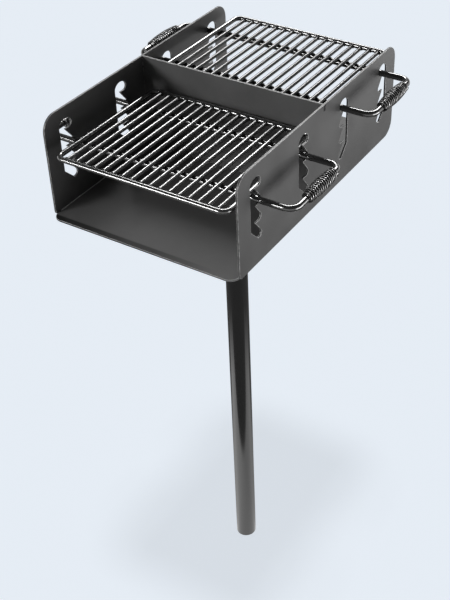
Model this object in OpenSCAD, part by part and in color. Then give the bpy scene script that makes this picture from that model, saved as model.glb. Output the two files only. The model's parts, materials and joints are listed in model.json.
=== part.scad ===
// Park barbecue grill on a ground post. A firebox of steel plate, open at the front and
// the back and parted by a divider, turns on the post by a stub tube that sits in the
// bore of the post's head. Each half holds a grate of welded rods. The grate hangs by two rods in
// stepped slots of the side plates, and is lifted by looped handles with coiled grips.
// The origin is the centre of the post's foot, with +Z up and the cook's side at -Y.

/* [Firebox] */
// Inside width between the side plates
box_w = 508; // [470:1:600]
// Depth of the side plates, front to back
box_d = 754.4; // [720:0.2:860]
// Height of the side plates
box_h = 256.8; // [248:0.2:320]
// Thickness of every plate of the firebox
plate_t = 4.76; // [3:0.01:6.5]
// How far the bottom plate reaches ahead of the side plates
lip = 17.5; // [8:0.5:40]
// Corner radius of the bottom plate
lip_r = 25; // [10:1:40]
// Corner radius of a side plate, top front and both rear corners
plate_r = 39; // [20:1:45]
// Corner radius of a side plate at its foot in front
toe_r = 11; // [4:0.5:20]
// Height of the divider's ears, which hang in notches of the side plates
ear_h = 16; // [10:0.5:24]
// Clearance round an ear in its notch
ear_gap = 0.35; // [0.2:0.05:0.8]

/* [Stepped slots] */
// From a side plate's front or rear edge to the straight side of the outer slot
slot_margin = 49.7; // [48:0.1:60]
// From the divider's middle to the straight side of the inner slot
inner_slot_y = 118.8; // [100:0.1:130]
// Room beside a support rod in the upright channel that it climbs in
channel_play = 2.4; // [1.5:0.1:4]
// Depth of a slot, from its straight side to the end of a pocket
slot_depth = 43.2; // [41:0.1:48]
// Radial room round a support rod in a pocket's round end
pocket_play = 1.45; // [0.8:0.05:2]
// Height of the lowest shelf above the underside of the firebox
low_shelf = 66.5; // [60:0.5:72]
// From the hooked roof of a slot to the top edge of its side plate
roof_margin = 30.25; // [24:0.05:40]
// Size of the sloping corner at a slot's foot, across and up
ramp = 29.2; // [20:0.1:31]
// Height of the hooked roof above the top shelf
hook_h = 26.7; // [24:0.1:30]
// Shelf that the front grate rests on, counted from the lowest
front_shelf = 2; // [0:1:3]
// Shelf that the rear grate rests on, counted from the lowest
rear_shelf = 3; // [0:1:3]

/* [Grates] */
// Diameter of the two support rods and of the handles
rod_d = 15.9; // [14:0.1:16.5]
// Diameter of the rod that frames a grate
frame_d = 12.7; // [10:0.1:14]
// Diameter of the bars that carry the food
bar_d = 9.5; // [8:0.1:12]
// Number of bars inside a grate's frame
bar_count = 17; // [12:1:19]
// Side room between a centred grate's frame axis and a side plate
grate_room = 27.65; // [24:0.05:40]
// Corner radius of the frame, to the rod's axis
frame_r = 18; // [12:1:18]
// How far the front grate's frame axis lies ahead of its fore rod
front_overhang = 97.5; // [60:0.5:110]
// How far the rear grate's frame axis lies behind its aft rod
rear_overhang = 81.7; // [60:0.5:90]
// Gap between a grate's frame and the divider
divider_room = 8.2; // [5:0.1:20]
// How far both grates have slid to the right
grate_shift = 12.4; // [0:0.1:14]

/* [Handles] */
// From a side plate to the axis of a centred grip
handle_reach = 75.7; // [66:0.1:90]
// Bend radius of a handle, to the rod's axis
bend_r = 23.6; // [20:0.1:30]
// Straight length of a handle between its bend and its weld on the support rod
handle_leg = 14.1; // [6:0.1:20]
// How far the front grate's rods lie to the right
front_rod_shift = 11.5; // [0:0.1:14]
// How far the rear grate's rods lie to the right
rear_rod_shift = 5.5; // [0:0.1:14]
// Gap at a welded or resting contact, where a round rod meets its seat
contact_gap = 0.05; // [0.02:0.01:0.2]
// Clearance under a support rod on its shelf
shelf_gap = 0.3; // [0.2:0.05:0.6]

/* [Coiled grips] */
// Straight handle left free beyond each end of a centred grip
grip_room = 18.25; // [17:0.05:30]
// Advance of a grip's wire in one curl
curl_pitch = 7.8; // [6.8:0.1:10]
// Thickness of the coil's wire
wire_d = 4; // [3:0.1:4.6]
// Radial clearance of a grip's ends round the handle
grip_fit = 1.35; // [1.2:0.05:2]
// How much further out the coil stands at its middle than at its ends
grip_swell = 4.2; // [1:0.1:7]
// How far the front grips have slid to the rear along their handles
front_grip_slide = 12.5; // [0:0.5:16]
// How far the rear grips have slid to the rear along their handles
rear_grip_slide = 5.6; // [0:0.1:16]

/* [Post and swivel] */
// Length of the pipe that forms the post
post_len = 1248; // [800:1:1500]
// Outer diameter of the post
post_d = 60.3; // [54:0.1:70]
// Wall of the post
post_wall = 3.9; // [3:0.1:4.5]
// Height of the swivel head welded on the post
head_len = 100; // [80:1:140]
// Wall of the swivel head
head_wall = 12.6; // [10:0.1:18]
// How much further in the head's bore stands than the pipe's
bore_step = 0.85; // [0.3:0.05:2]
// Radial running clearance of the stub in its bore
stub_fit = 0.08; // [0.02:0.01:0.1]
// Length of the stub tube
stub_len = 120; // [60:1:200]
// Wall of the stub tube
stub_wall = 6; // [5:0.1:8]
// Side of the square flange between the stub and the firebox
flange_w = 152; // [110:1:200]
// Thickness of the flange
flange_t = 6.35; // [5:0.05:10]
// Corner radius of the flange
flange_r = 10; // [4:1:20]
// Clearance between the head's rim and the flange that turns on it
rim_gap = 0.3; // [0.1:0.05:0.5]
// Shank diameter of the bolt that keeps the stub from lifting out
bolt_d = 12.7; // [10:0.1:14]
// Depth of the bolt below the head's rim
bolt_drop = 45; // [25:1:50]
// Depth of the groove that the bolt runs in
groove_depth = 2.5; // [1.5:0.1:3.5]
// Clearance of the bolt's tip to the sides and floor of the groove
groove_gap = 0.6; // [0.4:0.05:1]
// Clearance of the bolt in the head's wall
bolt_fit = 0.05; // [0.02:0.01:0.1]
// Width of the bolt's head across its flats
hex_w = 19; // [18:0.1:22]
// Height of the bolt's head
bolt_head_h = 8; // [6:0.1:10]
// Shank that shows between the swivel head and the bolt's head
bolt_show = 3; // [1:0.5:10]

/* [Hidden] */

// Sides of a full circle on round pieces, and steps along an arc of an outline
round_n = 64;
arc_n = 8;
hook_n = 14;
// Rings in one curl of a grip, and sides of its wire
curl_rings = 8;
wire_sides = 6;
// Overrun of every cut past the face that it opens
cut = 1;
// Number of shelves in a slot
shelf_count = 4;

plate_color = [0.16, 0.16, 0.165];
rod_color = [0.10, 0.10, 0.105];
coil_color = [0.20, 0.20, 0.205];
post_color = [0.07, 0.07, 0.075];
zinc_color = [0.45, 0.45, 0.46];

// Slots
channel_w = rod_d + channel_play;
pocket_r = rod_d / 2 + pocket_play;
top_shelf = box_h - roof_margin - hook_h;
shelf_pitch = (top_shelf - low_shelf) / (shelf_count - 1);
// Heights of the swivel head's rim, of the firebox's underside and of its floor
rim_z = post_len + head_len;
box_z = rim_z + rim_gap + flange_t;
floor_z = box_z + plate_t;
// Outer face of a side plate
outer_x = box_w / 2 + plate_t;
// Place of a support rod in its pocket, from the slot's straight side
rest_in = slot_depth - pocket_r;
outer_rod_y = box_d / 2 - slot_margin - rest_in;
inner_rod_y = inner_slot_y - rest_in;
// Half of a grate's width and the pitch of its bars
frame_x = box_w / 2 - grate_room;
bar_pitch = 2 * frame_x / (bar_count + 1);
// Edge of a grate's frame beside the divider
frame_in_y = plate_t / 2 + divider_room + frame_d / 2;
// Heights above a support rod's axis
frame_up = rod_d / 2 + frame_d / 2 + contact_gap;
bar_up = rod_d / 2 + bar_d / 2 + contact_gap;
// Half lengths across a grate's rods, and half of a handle's straight grip
grip_x = outer_x + handle_reach;
turn_x = grip_x - bend_r;
rod_x = turn_x - handle_leg;
straight_y = (outer_rod_y - inner_rod_y) / 2 - bend_r;
// Swivel
swivel_bore = post_d - 2 * post_wall - 2 * bore_step;
head_d = swivel_bore + 2 * head_wall;
stub_d = swivel_bore - 2 * stub_fit;
bolt_z = rim_z - bolt_drop;
groove_w = bolt_d + 2 * groove_gap;
groove_d = stub_d - 2 * groove_depth;
tip_y = groove_d / 2 + groove_gap;
bolt_head_y = head_d / 2 + bolt_show;

// Height of a support rod's axis on a shelf
function rod_z(shelf) = box_z + low_shelf + shelf * shelf_pitch + shelf_gap + rod_d / 2;

// Points of an arc in a plane, from angle a to angle b
function arc(cx, cy, r, a, b, n = arc_n) =
    [for (i = [0:n]) let (t = a + (b - a) * i / n) [cx + r * cos(t), cy + r * sin(t)]];

// Angle at which a tooth's sloping underside leaves the pocket's round end
tooth_dy = shelf_pitch - pocket_r;
tooth_dx = rest_in - channel_w;
tooth_end = 90 - atan2(tooth_dy, tooth_dx) + asin(pocket_r / norm([tooth_dx, tooth_dy]));

// Outline of a slot: across from its straight side, and up from the box's underside
function slot_outline() = concat(
    [[0, low_shelf + ramp], [ramp, low_shelf]],
    [for (s = [0:shelf_count - 2]) each concat(
        arc(rest_in, low_shelf + s * shelf_pitch + pocket_r, pocket_r, -90, tooth_end),
        [[channel_w, low_shelf + (s + 1) * shelf_pitch]])],
    arc(rest_in, top_shelf + pocket_r, pocket_r, -90, 0, arc_n / 2),
    [for (i = [1:hook_n]) let (t = 180 * i / hook_n)
        [slot_depth / 2 * (1 + cos(t)), top_shelf + pocket_r + (hook_h - pocket_r) * sin(t)]]);

// Outline of a side plate: along the box and up from its underside
function plate_outline() = concat(
    arc(-box_d / 2 + toe_r, toe_r, toe_r, 180, 270),
    arc(box_d / 2 - plate_r, plate_r, plate_r, 270, 360),
    arc(box_d / 2 - plate_r, box_h - plate_r, plate_r, 0, 90),
    arc(-box_d / 2 + plate_r, box_h - plate_r, plate_r, 90, 180));

// A solid whose outline lies along Y and Z, from x0 and t thick towards +X
module upright(x0, t) {
    translate([x0, 0, box_z]) rotate([90, 0, 90]) linear_extrude(t) children();
}

// A round rod along one axis, between two places on it
module rod_x_axis(x0, x1, y, z, d) {
    translate([x0, y, z]) rotate([0, 90, 0]) cylinder(h = x1 - x0, d = d, $fn = round_n);
}
module rod_y_axis(x, y0, y1, z, d) {
    translate([x, y0, z]) rotate([-90, 0, 0]) cylinder(h = y1 - y0, d = d, $fn = round_n);
}

// A quarter bend of rod, with a straight run to each side: one back along X, one back along Y
module bent_rod(r, d, run_x, run_y) {
    rotate_extrude(angle = 90, $fn = round_n) translate([r, 0]) circle(d = d, $fn = round_n);
    translate([0, r, 0]) rotate([0, -90, 0]) cylinder(h = run_x, d = d, $fn = round_n);
    translate([r, 0, 0]) rotate([90, 0, 0]) cylinder(h = run_y, d = d, $fn = round_n);
}

// A side plate with four stepped slots and a notch for the divider's ear
module side_plate(x0) {
    color(plate_color) difference() {
        upright(x0, plate_t) polygon(plate_outline());
        for (side = [-1, 1]) {
            outer_y = side * (box_d / 2 - slot_margin);
            inner_y = side * inner_slot_y;
            for (y = [outer_y, inner_y])
                upright(x0 - cut, plate_t + 2 * cut)
                    translate([y, 0]) scale([-side, 1]) polygon(slot_outline());
        }
        translate([x0 - cut, -plate_t / 2 - ear_gap, box_z + box_h - ear_h - ear_gap])
            cube([plate_t + 2 * cut, plate_t + 2 * ear_gap, ear_h + ear_gap + cut]);
    }
}

module left_side_plate() side_plate(-outer_x);
module right_side_plate() side_plate(box_w / 2);

// The floor of the firebox, which reaches ahead of the side plates in front
module firebox_bottom() {
    front = -box_d / 2 - lip;
    rear = box_d / 2;
    color(plate_color) translate([0, 0, box_z]) linear_extrude(plate_t) polygon(concat(
        arc(-box_w / 2 + lip_r, front + lip_r, lip_r, 180, 270),
        arc(box_w / 2 - lip_r, front + lip_r, lip_r, 270, 360),
        arc(box_w / 2 - lip_r, rear - lip_r, lip_r, 0, 90),
        arc(-box_w / 2 + lip_r, rear - lip_r, lip_r, 90, 180)));
}

// The divider stands on the floor and hangs by an ear at each upper corner
module divider_plate() {
    color(plate_color) {
        translate([-box_w / 2, -plate_t / 2, floor_z])
            cube([box_w, plate_t, box_h - plate_t]);
        translate([-outer_x, -plate_t / 2, box_z + box_h - ear_h])
            cube([2 * outer_x, plate_t, ear_h]);
    }
}

// The frame of a grate: a closed loop of rod, four bent quarters about its middle
module grate_frame(side, overhang, shelf) {
    far_y = outer_rod_y + overhang;
    half_x = frame_x - frame_r;
    half_y = (far_y - frame_in_y) / 2 - frame_r;
    color(rod_color)
        translate([grate_shift, side * (far_y + frame_in_y) / 2, rod_z(shelf) + frame_up])
            for (a = [0, 180]) rotate([0, 0, a]) {
                translate([half_x, half_y, 0])
                    bent_rod(frame_r, frame_d, half_x, half_y);
                translate([-half_x, half_y, 0]) rotate([0, 0, 90])
                    bent_rod(frame_r, frame_d, half_y, half_x);
            }
}

// The bars of a grate, which lie on the support rods and end at the frame
module grate_bars(side, overhang, shelf) {
    far_y = outer_rod_y + overhang;
    y0 = (side < 0 ? -far_y : frame_in_y) + frame_d / 2 + contact_gap;
    y1 = (side < 0 ? -frame_in_y : far_y) - frame_d / 2 - contact_gap;
    color(rod_color) for (i = [1:bar_count])
        rod_y_axis(grate_shift - frame_x + i * bar_pitch, y0, y1, rod_z(shelf) + bar_up, bar_d);
}

// A support rod, which passes through the pockets of both side plates
module support_rod(y, shift, shelf) {
    color(rod_color) rod_x_axis(shift - rod_x, shift + rod_x, y, rod_z(shelf), rod_d);
}

// A looped handle, welded to the ends of a grate's two support rods; out is -1 or 1
module handle(side, out, shift, shelf) {
    color(rod_color)
        translate([shift + out * turn_x, side * (outer_rod_y + inner_rod_y) / 2, rod_z(shelf)])
            rotate([0, 0, out > 0 ? 0 : 180]) {
                translate([0, straight_y, 0])
                    bent_rod(bend_r, rod_d, handle_leg, straight_y);
                translate([0, -straight_y, 0]) rotate([0, 0, 270])
                    bent_rod(bend_r, rod_d, straight_y, handle_leg);
            }
}

// A coiled grip: one wire that winds round the handle, widest at the middle of its length
grip_len = 2 * (straight_y - grip_room);
grip_curls = floor(grip_len / curl_pitch);
wire_r = wire_d / 2;
end_r = rod_d / 2 + grip_fit + wire_r;
mid_r = end_r + grip_swell;
ring_total = grip_curls * curl_rings;
function coil_r(u) = end_r + (mid_r - end_r) * sin(180 * u);
function coil_point(i) = let (u = i / ring_total, t = 360 * i / curl_rings)
    [coil_r(u) * cos(t), u * grip_len, coil_r(u) * sin(t)];
function coil_ring(i) = let (t = 360 * i / curl_rings, p = coil_point(i),
        out = [cos(t), 0, sin(t)])
    [for (k = [0:wire_sides - 1]) let (a = 360 * k / wire_sides)
        p + wire_r * (cos(a) * out + sin(a) * [0, 1, 0])];
coil_points = [for (i = [0:ring_total]) each coil_ring(i)];
coil_faces = concat(
    [for (i = [0:ring_total - 1], k = [0:wire_sides - 1]) let (
            a = i * wire_sides + k,
            b = i * wire_sides + (k + 1) % wire_sides,
            c = b + wire_sides,
            d = a + wire_sides)
        each [[a, b, c], [a, c, d]]],
    [for (k = [1:wire_sides - 2]) [0, k + 1, k]],
    [for (k = [1:wire_sides - 2]) let (n = ring_total * wire_sides) [n, n + k, n + k + 1]]);
// Least gap between curls, from the middle of the wire to points at least half a curl on
coil_gap = min([for (i = [0:ring_total], j = [i + curl_rings / 2:1:min(ring_total,
    i + 2 * curl_rings)]) norm(coil_point(i) - coil_point(j))]) - wire_d;
echo(coil_least_gap_mm = coil_gap, coil_triangles = len(coil_faces));

module grip(side, out, shift, slide, shelf) {
    mid_y = side * (outer_rod_y + inner_rod_y) / 2 + slide;
    color(coil_color)
        translate([shift + out * grip_x, mid_y - grip_len / 2, rod_z(shelf)])
            polyhedron(points = coil_points, faces = coil_faces);
}

module front_grate_frame() grate_frame(-1, front_overhang, front_shelf);
module front_grate_bars() grate_bars(-1, front_overhang, front_shelf);
module front_grate_fore_rod() support_rod(-outer_rod_y, front_rod_shift, front_shelf);
module front_grate_aft_rod() support_rod(-inner_rod_y, front_rod_shift, front_shelf);
module front_left_handle() handle(-1, -1, front_rod_shift, front_shelf);
module front_right_handle() handle(-1, 1, front_rod_shift, front_shelf);
module front_left_grip() grip(-1, -1, front_rod_shift, front_grip_slide, front_shelf);
module front_right_grip() grip(-1, 1, front_rod_shift, front_grip_slide, front_shelf);

module rear_grate_frame() grate_frame(1, rear_overhang, rear_shelf);
module rear_grate_bars() grate_bars(1, rear_overhang, rear_shelf);
module rear_grate_fore_rod() support_rod(inner_rod_y, rear_rod_shift, rear_shelf);
module rear_grate_aft_rod() support_rod(outer_rod_y, rear_rod_shift, rear_shelf);
module rear_left_handle() handle(1, -1, rear_rod_shift, rear_shelf);
module rear_right_handle() handle(1, 1, rear_rod_shift, rear_shelf);
module rear_left_grip() grip(1, -1, rear_rod_shift, rear_grip_slide, rear_shelf);
module rear_right_grip() grip(1, 1, rear_rod_shift, rear_grip_slide, rear_shelf);

// The ground post: a length of pipe
module post() {
    color(post_color) difference() {
        cylinder(h = post_len, d = post_d, $fn = round_n);
        translate([0, 0, -cut])
            cylinder(h = post_len + 2 * cut, d = post_d - 2 * post_wall, $fn = round_n);
    }
}

// The swivel head: a thick ring on the post, bored for the stub and drilled for the bolt
module swivel_head() {
    color(post_color) difference() {
        translate([0, 0, post_len]) cylinder(h = head_len, d = head_d, $fn = round_n);
        translate([0, 0, post_len - cut])
            cylinder(h = head_len + 2 * cut, d = swivel_bore, $fn = round_n);
        translate([0, 0, bolt_z]) rotate([-90, 0, 0])
            cylinder(h = head_d, d = bolt_d + 2 * bolt_fit, $fn = round_n);
    }
}

// The bolt that runs in the stub's groove and keeps the firebox on its post
module retaining_bolt() {
    color(zinc_color) translate([0, 0, bolt_z]) rotate([-90, 0, 0]) {
        translate([0, 0, tip_y]) cylinder(h = bolt_head_y - tip_y, d = bolt_d, $fn = round_n);
        translate([0, 0, bolt_head_y]) cylinder(h = bolt_head_h, d = hex_w / cos(30), $fn = 6);
    }
}

// The stub tube under the firebox, with a groove for the retaining bolt
module swivel_stub() {
    top_z = box_z - flange_t;
    color(plate_color) difference() {
        translate([0, 0, top_z - stub_len]) cylinder(h = stub_len, d = stub_d, $fn = round_n);
        translate([0, 0, top_z - stub_len - cut])
            cylinder(h = stub_len + 2 * cut, d = stub_d - 2 * stub_wall, $fn = round_n);
        translate([0, 0, bolt_z - groove_w / 2]) difference() {
            cylinder(h = groove_w, d = stub_d + 2 * cut, $fn = round_n);
            translate([0, 0, -cut])
                cylinder(h = groove_w + 2 * cut, d = groove_d, $fn = round_n);
        }
    }
}

// The square flange that joins the stub to the firebox's floor and turns on the rim
module swivel_flange() {
    half = flange_w / 2 - flange_r;
    color(plate_color) translate([0, 0, box_z - flange_t]) linear_extrude(flange_t)
        polygon(concat(
            arc(half, half, flange_r, 0, 90), arc(-half, half, flange_r, 90, 180),
            arc(-half, -half, flange_r, 180, 270), arc(half, -half, flange_r, 270, 360)));
}

post();
swivel_head();
retaining_bolt();
swivel_stub();
swivel_flange();
firebox_bottom();
left_side_plate();
right_side_plate();
divider_plate();
front_grate_frame();
front_grate_bars();
front_grate_fore_rod();
front_grate_aft_rod();
front_left_handle();
front_right_handle();
front_left_grip();
front_right_grip();
rear_grate_frame();
rear_grate_bars();
rear_grate_fore_rod();
rear_grate_aft_rod();
rear_left_handle();
rear_right_handle();
rear_left_grip();
rear_right_grip();
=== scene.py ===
"""Finished look of a park barbecue grill on a ground post.

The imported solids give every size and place. This script rounds the edges of the steel
plates, winds the coiled grips, lays the weld beads, paints every piece, and sets the
floor, the lamps and the camera.
"""
import json
import logging
import math
from collections.abc import Iterable, Mapping, Sequence
from dataclasses import dataclass, replace
from enum import Enum
from functools import cache

import bmesh
import bpy
from bpy.types import Collection, ID, Material, Mesh, Node, NodeTree, Object, World
from bpy.types import NodeSocket as Socket
from mathutils import Matrix, Vector

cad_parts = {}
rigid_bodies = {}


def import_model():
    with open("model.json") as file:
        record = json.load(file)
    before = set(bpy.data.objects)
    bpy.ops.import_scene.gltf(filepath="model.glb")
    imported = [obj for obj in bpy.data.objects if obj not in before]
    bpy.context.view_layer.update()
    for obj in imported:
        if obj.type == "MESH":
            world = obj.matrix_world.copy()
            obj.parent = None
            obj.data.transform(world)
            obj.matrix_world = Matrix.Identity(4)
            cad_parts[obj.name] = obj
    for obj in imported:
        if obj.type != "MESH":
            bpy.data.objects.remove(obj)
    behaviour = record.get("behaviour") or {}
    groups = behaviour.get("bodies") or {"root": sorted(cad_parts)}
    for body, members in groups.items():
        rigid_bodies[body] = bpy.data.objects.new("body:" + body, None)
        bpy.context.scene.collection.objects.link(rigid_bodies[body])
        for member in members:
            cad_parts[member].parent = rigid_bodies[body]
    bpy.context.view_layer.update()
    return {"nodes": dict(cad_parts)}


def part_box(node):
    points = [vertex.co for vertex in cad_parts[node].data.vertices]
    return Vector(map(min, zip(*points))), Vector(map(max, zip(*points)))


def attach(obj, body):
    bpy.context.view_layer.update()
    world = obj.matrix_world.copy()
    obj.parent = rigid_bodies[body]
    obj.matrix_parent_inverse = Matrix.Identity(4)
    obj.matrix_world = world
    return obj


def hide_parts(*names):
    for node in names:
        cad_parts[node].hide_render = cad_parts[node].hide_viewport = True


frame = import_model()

LOG = logging.getLogger("park_grill")

Colour = tuple[float, float, float]
Path = list[Vector]
EDGE = "edge"


class Place(Enum):
    """Which half of the firebox a grate lies in."""

    FRONT = "front"
    REAR = "rear"


class Hand(Enum):
    """Which side of the firebox a handle stands on."""

    LEFT = "left"
    RIGHT = "right"


def put(name: str, data: ID) -> Object:
    """Puts a new object into the scene.

    Args:
        name: The object's name.
        data: Its mesh, lamp or camera.

    Returns:
        The object.
    """
    made = bpy.data.objects.new(name, data)
    bpy.context.scene.collection.objects.link(made)
    return made


class NodeBench:
    """Places, sets and joins the nodes of one tree."""

    def __init__(self, tree: NodeTree) -> None:
        """Keeps the tree that the nodes go into."""
        self.tree = tree

    @classmethod
    def cleared(cls, owner: Material | World) -> "NodeBench":
        """The bench of a material or world, with its nodes taken out."""
        owner.use_nodes = True
        owner.node_tree.nodes.clear()
        return cls(owner.node_tree)

    def feed(self, socket: Socket, value: object) -> None:
        """Links a socket to another one, or sets its value.

        Args:
            socket: The input that is fed.
            value: An output socket, or a plain value.
        """
        if isinstance(value, Socket):
            self.tree.links.new(value, socket)
        else:
            socket.default_value = value

    def add(
        self, kind: str, inputs: dict[str | int, object] | None = None, **settings: object
    ) -> Node:
        """Places one node.

        Args:
            kind: The node's type name.
            inputs: What feeds each of its inputs, by name or number.
            **settings: The node's own settings.

        Returns:
            The node.
        """
        node = self.tree.nodes.new(kind)
        for key, value in settings.items():
            setattr(node, key, value)
        for key, value in (inputs or {}).items():
            self.feed(node.inputs[key], value)
        return node

    def calc(self, operation: str, *values: object, clamp: bool = False) -> Socket:
        """Works out a number from others.

        Args:
            operation: The Math node's operation.
            *values: Sockets or numbers, in the node's order.
            clamp: Whether the result is held between 0 and 1.

        Returns:
            The socket that holds the result.
        """
        inputs = dict(enumerate(values))
        return self.add("ShaderNodeMath", inputs, operation=operation, use_clamp=clamp).outputs[0]

    def vector(self, operation: str, *values: object) -> Socket:
        """Works out a vector, or a number from vectors.

        Args:
            operation: The Vector Math node's operation.
            *values: Sockets or vectors, in the node's order.

        Returns:
            The socket that holds the result.
        """
        node = self.add("ShaderNodeVectorMath", dict(enumerate(values)), operation=operation)
        return node.outputs["Value" if operation in ("DOT_PRODUCT", "LENGTH") else "Vector"]

    def split(self, vector: Socket) -> Mapping[str, Socket]:
        """The three parts of a vector, by the names X, Y and Z."""
        return self.add("ShaderNodeSeparateXYZ", {"Vector": vector}).outputs

    def ramp(
        self, value: object, start: float, end: float, first: float = 0.0, last: float = 1.0
    ) -> Socket:
        """Turns one range of a value into another, held at its ends.

        Args:
            value: The value.
            start: Where the range starts.
            end: Where it ends.
            first: The result at the start.
            last: The result at the end.

        Returns:
            The socket that holds the result.
        """
        ends = {"From Min": start, "From Max": end, "To Min": first, "To Max": last}
        node = self.add("ShaderNodeMapRange", {"Value": value, **ends}, clamp=True)
        return node.outputs["Result"]

    def noise(self, place: Socket, scale: object, detail: float, roughness: float) -> Socket:
        """Gives a soft random value at each place.

        Args:
            place: The place.
            scale: How many swells fit in a metre.
            detail: How many finer layers are added.
            roughness: How strong the finer layers are.

        Returns:
            The socket that holds the value.
        """
        inputs = {"Vector": place, "Scale": scale, "Detail": detail, "Roughness": roughness}
        return self.add("ShaderNodeTexNoise", inputs).outputs["Fac"]

    def blend_colour(self, share: object, first: object, second: object) -> Socket:
        """Mixes two colours.

        Args:
            share: How much of the second colour shows, a socket or a number.
            first: The colour at 0.
            second: The colour at 1.

        Returns:
            The socket that holds the mixed colour.
        """
        inputs = {"Factor": share, 6: first, 7: second}
        return self.add("ShaderNodeMix", inputs, data_type="RGBA").outputs[2]

    def blend_shader(self, share: object, first: Socket, second: Socket) -> Socket:
        """Mixes two shaders, the second one by the share."""
        return self.add("ShaderNodeMixShader", {0: share, 1: first, 2: second}).outputs[0]


Group = tuple[NodeTree, NodeBench, Mapping[str, Socket], Mapping[str, Socket]]


def start_group(kind: str, name: str, inputs: dict[str, str], outputs: dict[str, str]) -> Group:
    """Starts a node group with its sockets.

    Args:
        kind: The group's tree type.
        name: The group's name.
        inputs: What each input carries, by the input's name.
        outputs: What each output carries, by the output's name.

    Returns:
        The tree, its bench, what its inputs give and what its outputs take.
    """
    tree = bpy.data.node_groups.new(name, kind)
    for way, sockets in (("INPUT", inputs), ("OUTPUT", outputs)):
        for label, sort in sockets.items():
            tree.interface.new_socket(name=label, in_out=way, socket_type=f"NodeSocket{sort}")
    bench = NodeBench(tree)
    return tree, bench, bench.add("NodeGroupInput").outputs, bench.add("NodeGroupOutput").inputs


def rgba(colour: Colour) -> tuple[float, float, float, float]:
    """The colour with a full fourth channel."""
    return (*colour, 1.0)


def grey(level: float) -> Colour:
    """The colour whose three channels are alike."""
    return (level, level, level)


class Effects:
    """Shader groups that more than one finish uses, each built once."""

    @staticmethod
    @cache
    def paint_skin() -> NodeTree:
        """The skin of sprayed paint: fine swells, and broad cloudy changes.

        Returns:
            The group, with outputs Height and Cloud.
        """
        tree, bench, given, result = start_group(
            "ShaderNodeTree",
            "paint skin",
            {"Vector": "Vector", "Swell Pitch": "Float", "Cloud Pitch": "Float"},
            {"Height": "Float", "Cloud": "Float"},
        )
        place = given["Vector"]
        fine = bench.calc("DIVIDE", 1.0, given["Swell Pitch"])
        broad = bench.calc("DIVIDE", 1.0, given["Cloud Pitch"])
        bench.feed(result["Height"], bench.noise(place, fine, detail=2.0, roughness=0.55))
        cloud = bench.noise(place, broad, detail=5.0, roughness=0.6)
        bench.feed(result["Cloud"], bench.ramp(cloud, start=0.3, end=0.7))
        return tree

    @staticmethod
    @cache
    def edge_wear_and_highlight() -> NodeTree:
        """Paint worn thin along edges, in a broken line, and lighter there: wear, and on some
        paints also a painted highlight along the edges.

        Returns:
            The group, with output Mask.
        """
        tree, bench, given, result = start_group(
            "ShaderNodeTree",
            "edge wear and painted highlight",
            {"Vector": "Vector", "Edge": "Float", "Amount": "Float"},
            {"Mask": "Float"},
        )
        nicks = bench.noise(given["Vector"], scale=95.0, detail=4.0, roughness=0.65)
        lifted = bench.calc("ADD", nicks, given["Amount"])
        share = bench.calc("MULTIPLY", lifted, given["Edge"])
        bench.feed(result["Mask"], bench.ramp(share, start=0.72, end=0.95))
        return tree

    @staticmethod
    @cache
    def settled_dust() -> NodeTree:
        """Fine dust on faces that look upwards.

        Returns:
            The group, with output Mask.
        """
        tree, bench, given, result = start_group(
            "ShaderNodeTree",
            "settled dust",
            {"Vector": "Vector", "Amount": "Float"},
            {"Mask": "Float"},
        )
        facing = bench.split(bench.add("ShaderNodeNewGeometry").outputs["Normal"])
        steepness = 3.0
        up = bench.calc("POWER", bench.calc("MAXIMUM", facing["Z"], 0.0), steepness)
        drift = bench.noise(given["Vector"], scale=14.0, detail=6.0, roughness=0.7)
        share = bench.calc("MULTIPLY", up, drift)
        bench.feed(result["Mask"], bench.calc("MULTIPLY", share, given["Amount"], clamp=True))
        return tree


@dataclass(frozen=True)
class PaintedShadeStrip:
    """A dark strip of painted shade along the front edge of a plate, from its left end. Lengths
    are in metres.
    """

    front: float
    left: float
    depth: float = 0.0165
    length: float = 0.37
    blur: float = 0.002
    fade: float = 0.08
    colour: Colour = grey(0.004)

    def mask(self, bench: NodeBench, place: Socket) -> Socket:
        """How much painted shade each point gets.

        Args:
            bench: The bench of the plate's material.
            place: The point's place.

        Returns:
            0 where the plate keeps its own colour and 1 where the painted shade is darkest.
        """
        where = bench.split(place)
        back, end = self.front + self.depth, self.left + self.length
        across = bench.ramp(where["Y"], back - self.blur, back + self.blur, 1.0, 0.0)
        along = bench.ramp(where["X"], end - self.fade, end + self.fade, 1.0, 0.0)
        return bench.calc("MULTIPLY", across, along)


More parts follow.
